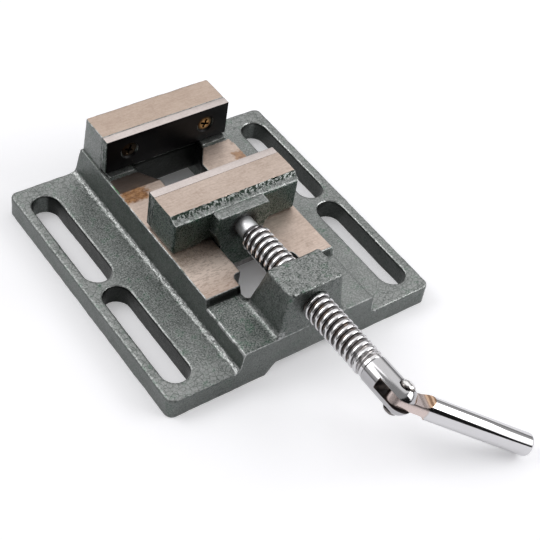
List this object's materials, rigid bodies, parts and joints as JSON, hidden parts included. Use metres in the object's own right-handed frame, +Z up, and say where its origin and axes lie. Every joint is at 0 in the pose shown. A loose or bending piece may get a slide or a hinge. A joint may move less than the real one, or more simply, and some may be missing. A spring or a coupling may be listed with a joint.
{
  "type": "drill press vise",
  "caption": "Low cast drill press vise with slotted flanges, a sliding jaw on machined ways, a trapezoidal screw and a folding round-bar handle.",
  "frame": {"origin": "on the table, under the middle of the bounding box that the vise and its handle fill as it stands", "axes": "+Z up; Y along the screw, with the fixed jaw towards +Y and the handle towards -Y; X across the jaws"},
  "size_m": [0.134, 0.2222, 0.043],
  "materials": {
    "hammer_enamel": "grey-green hammer enamel on a rough casting, bare machined ways and jaw top",
    "jaw_enamel": "grey-green hammer enamel, bare machined top",
    "ground_steel": "milled warm grey steel",
    "black_steel": "black oxide face with a bare milled top edge",
    "yellow_zinc": "yellow zinc plated steel",
    "keeper_steel": "plain steel, oiled",
    "bright_steel": "bright plated rolled thread",
    "rivet_steel": "bright plated, hammered dome",
    "chrome": "polished chrome"
  },
  "bodies": {
    "base": {"base_casting": "hammer_enamel", "fixed_jaw_plate": "black_steel", "fixed_plate_screw_left": "yellow_zinc", "fixed_plate_screw_right": "yellow_zinc"},
    "moving_jaw": {"moving_jaw_casting": "jaw_enamel", "moving_jaw_plate": "ground_steel", "moving_plate_screw_left": "yellow_zinc", "moving_plate_screw_right": "yellow_zinc", "keeper_plate": "keeper_steel", "keeper_washer_left": "keeper_steel", "keeper_washer_right": "keeper_steel", "keeper_screw_left": "keeper_steel", "keeper_screw_right": "keeper_steel", "retaining_pin_left": "keeper_steel", "retaining_pin_right": "keeper_steel"},
    "lead_screw": {"lead_screw": "bright_steel", "hinge_rivet": "rivet_steel"},
    "handle": {"handle_lever": "chrome"}
  },
  "joints": [
    {"name": "jaw_slide", "type": "slide", "parent": "base", "child": "moving_jaw", "axis": [0, 1, 0], "range_m": [-0.0275, 0.034]},
    {"name": "screw_turn", "type": "hinge", "parent": "moving_jaw", "child": "lead_screw", "pos_m": [0, -0.0159, 0.0325], "axis": [0, 1, 0], "range_deg": [-3119, 3856]},
    {"name": "handle_fold", "type": "hinge", "parent": "lead_screw", "child": "handle", "pos_m": [0, -0.0766, 0.0325], "axis": [0.4909, 0, 0.8712], "range_deg": [-151.75, 28.25]}
  ],
  "couplings": [
    {"joint": "screw_turn", "follows": "jaw_slide", "rad_per_m": 1979}
  ]
}
